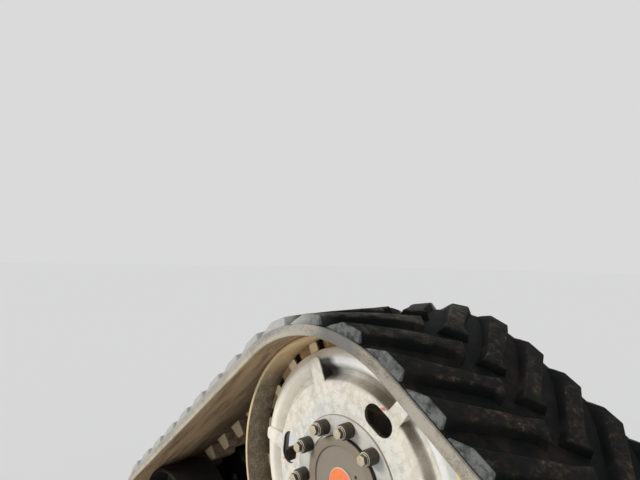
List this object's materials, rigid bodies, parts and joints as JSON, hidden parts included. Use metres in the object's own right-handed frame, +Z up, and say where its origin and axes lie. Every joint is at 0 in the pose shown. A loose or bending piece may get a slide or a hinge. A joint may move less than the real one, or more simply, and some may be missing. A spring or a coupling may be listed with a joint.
{
  "type": "rubber track undercarriage unit",
  "caption": "Triangular rubber track unit for a harvester's driven axle, with toothed drive wheel, two idlers, mid rollers and a tilting track frame.",
  "frame": {"origin": "centre of the final drive's mounting face, on the drive axle's axis", "axes": "+X forward in the direction of travel, +Y inboard to the machine along the drive axle, +Z up"},
  "size_m": [2.8699, 0.849, 1.4048],
  "materials": {
    "belt_rubber": "matt black rubber, dusty",
    "wheel_paint": "off-white paint, scratched and dusty",
    "rim_paint": "off-white paint under brown dust",
    "bar_steel": "worn paint and dust",
    "cover_grey": "warm grey paint",
    "badge_orange": "plain orange plastic",
    "sleeve_steel": "dark olive-grey",
    "bolt_zinc": "yellow zinc, dusty",
    "drive_casting": "dark grey casting",
    "frame_paint": "dark grey paint, dusty",
    "shaft_steel": "machined steel"
  },
  "bodies": {
    "track_unit": {"rubber_belt": "belt_rubber", "drive_wheel_disc": "wheel_paint", "drive_ring_outboard": "rim_paint", "drive_ring_inboard": "rim_paint", "drive_bars": "bar_steel", "wheel_clamp_ring": "wheel_paint", "wheel_hub": "drive_casting", "hub_cover": "cover_grey", "hub_badge": "badge_orange", "hub_plug": "shaft_steel", "bolt_sleeves": "sleeve_steel", "bolt_washers": "bolt_zinc", "wheel_bolts": "bolt_zinc", "saddle_stops": "frame_paint", "frame_saddle": "frame_paint", "frame_cross_members": "frame_paint", "frame_beam": "frame_paint", "idler_yoke": "frame_paint", "tension_cylinder": "frame_paint", "tension_rod": "shaft_steel", "tension_pins": "bolt_zinc", "front_idler_wheels": "wheel_paint", "front_idler_axle": "shaft_steel", "front_idler_caps": "frame_paint", "rear_idler_wheels": "wheel_paint", "rear_idler_axle": "shaft_steel", "rear_idler_caps": "frame_paint", "mid_roller_1_wheels": "wheel_paint", "mid_roller_1_axle": "shaft_steel", "mid_roller_1_caps": "frame_paint", "mid_roller_2_wheels": "wheel_paint", "mid_roller_2_axle": "shaft_steel", "mid_roller_2_caps": "frame_paint", "mid_roller_3_wheels": "wheel_paint", "mid_roller_3_axle": "shaft_steel", "mid_roller_3_caps": "frame_paint"},
    "final_drive": {"final_drive_housing": "drive_casting", "output_shaft": "shaft_steel", "input_shaft": "shaft_steel"}
  },
  "joints": [
    {"name": "axle_tilt", "type": "hinge", "parent": "track_unit", "child": "final_drive", "pos_m": [0, 0, 0], "axis": [0, 1, 0], "range_deg": [-10, 10]}
  ]
}
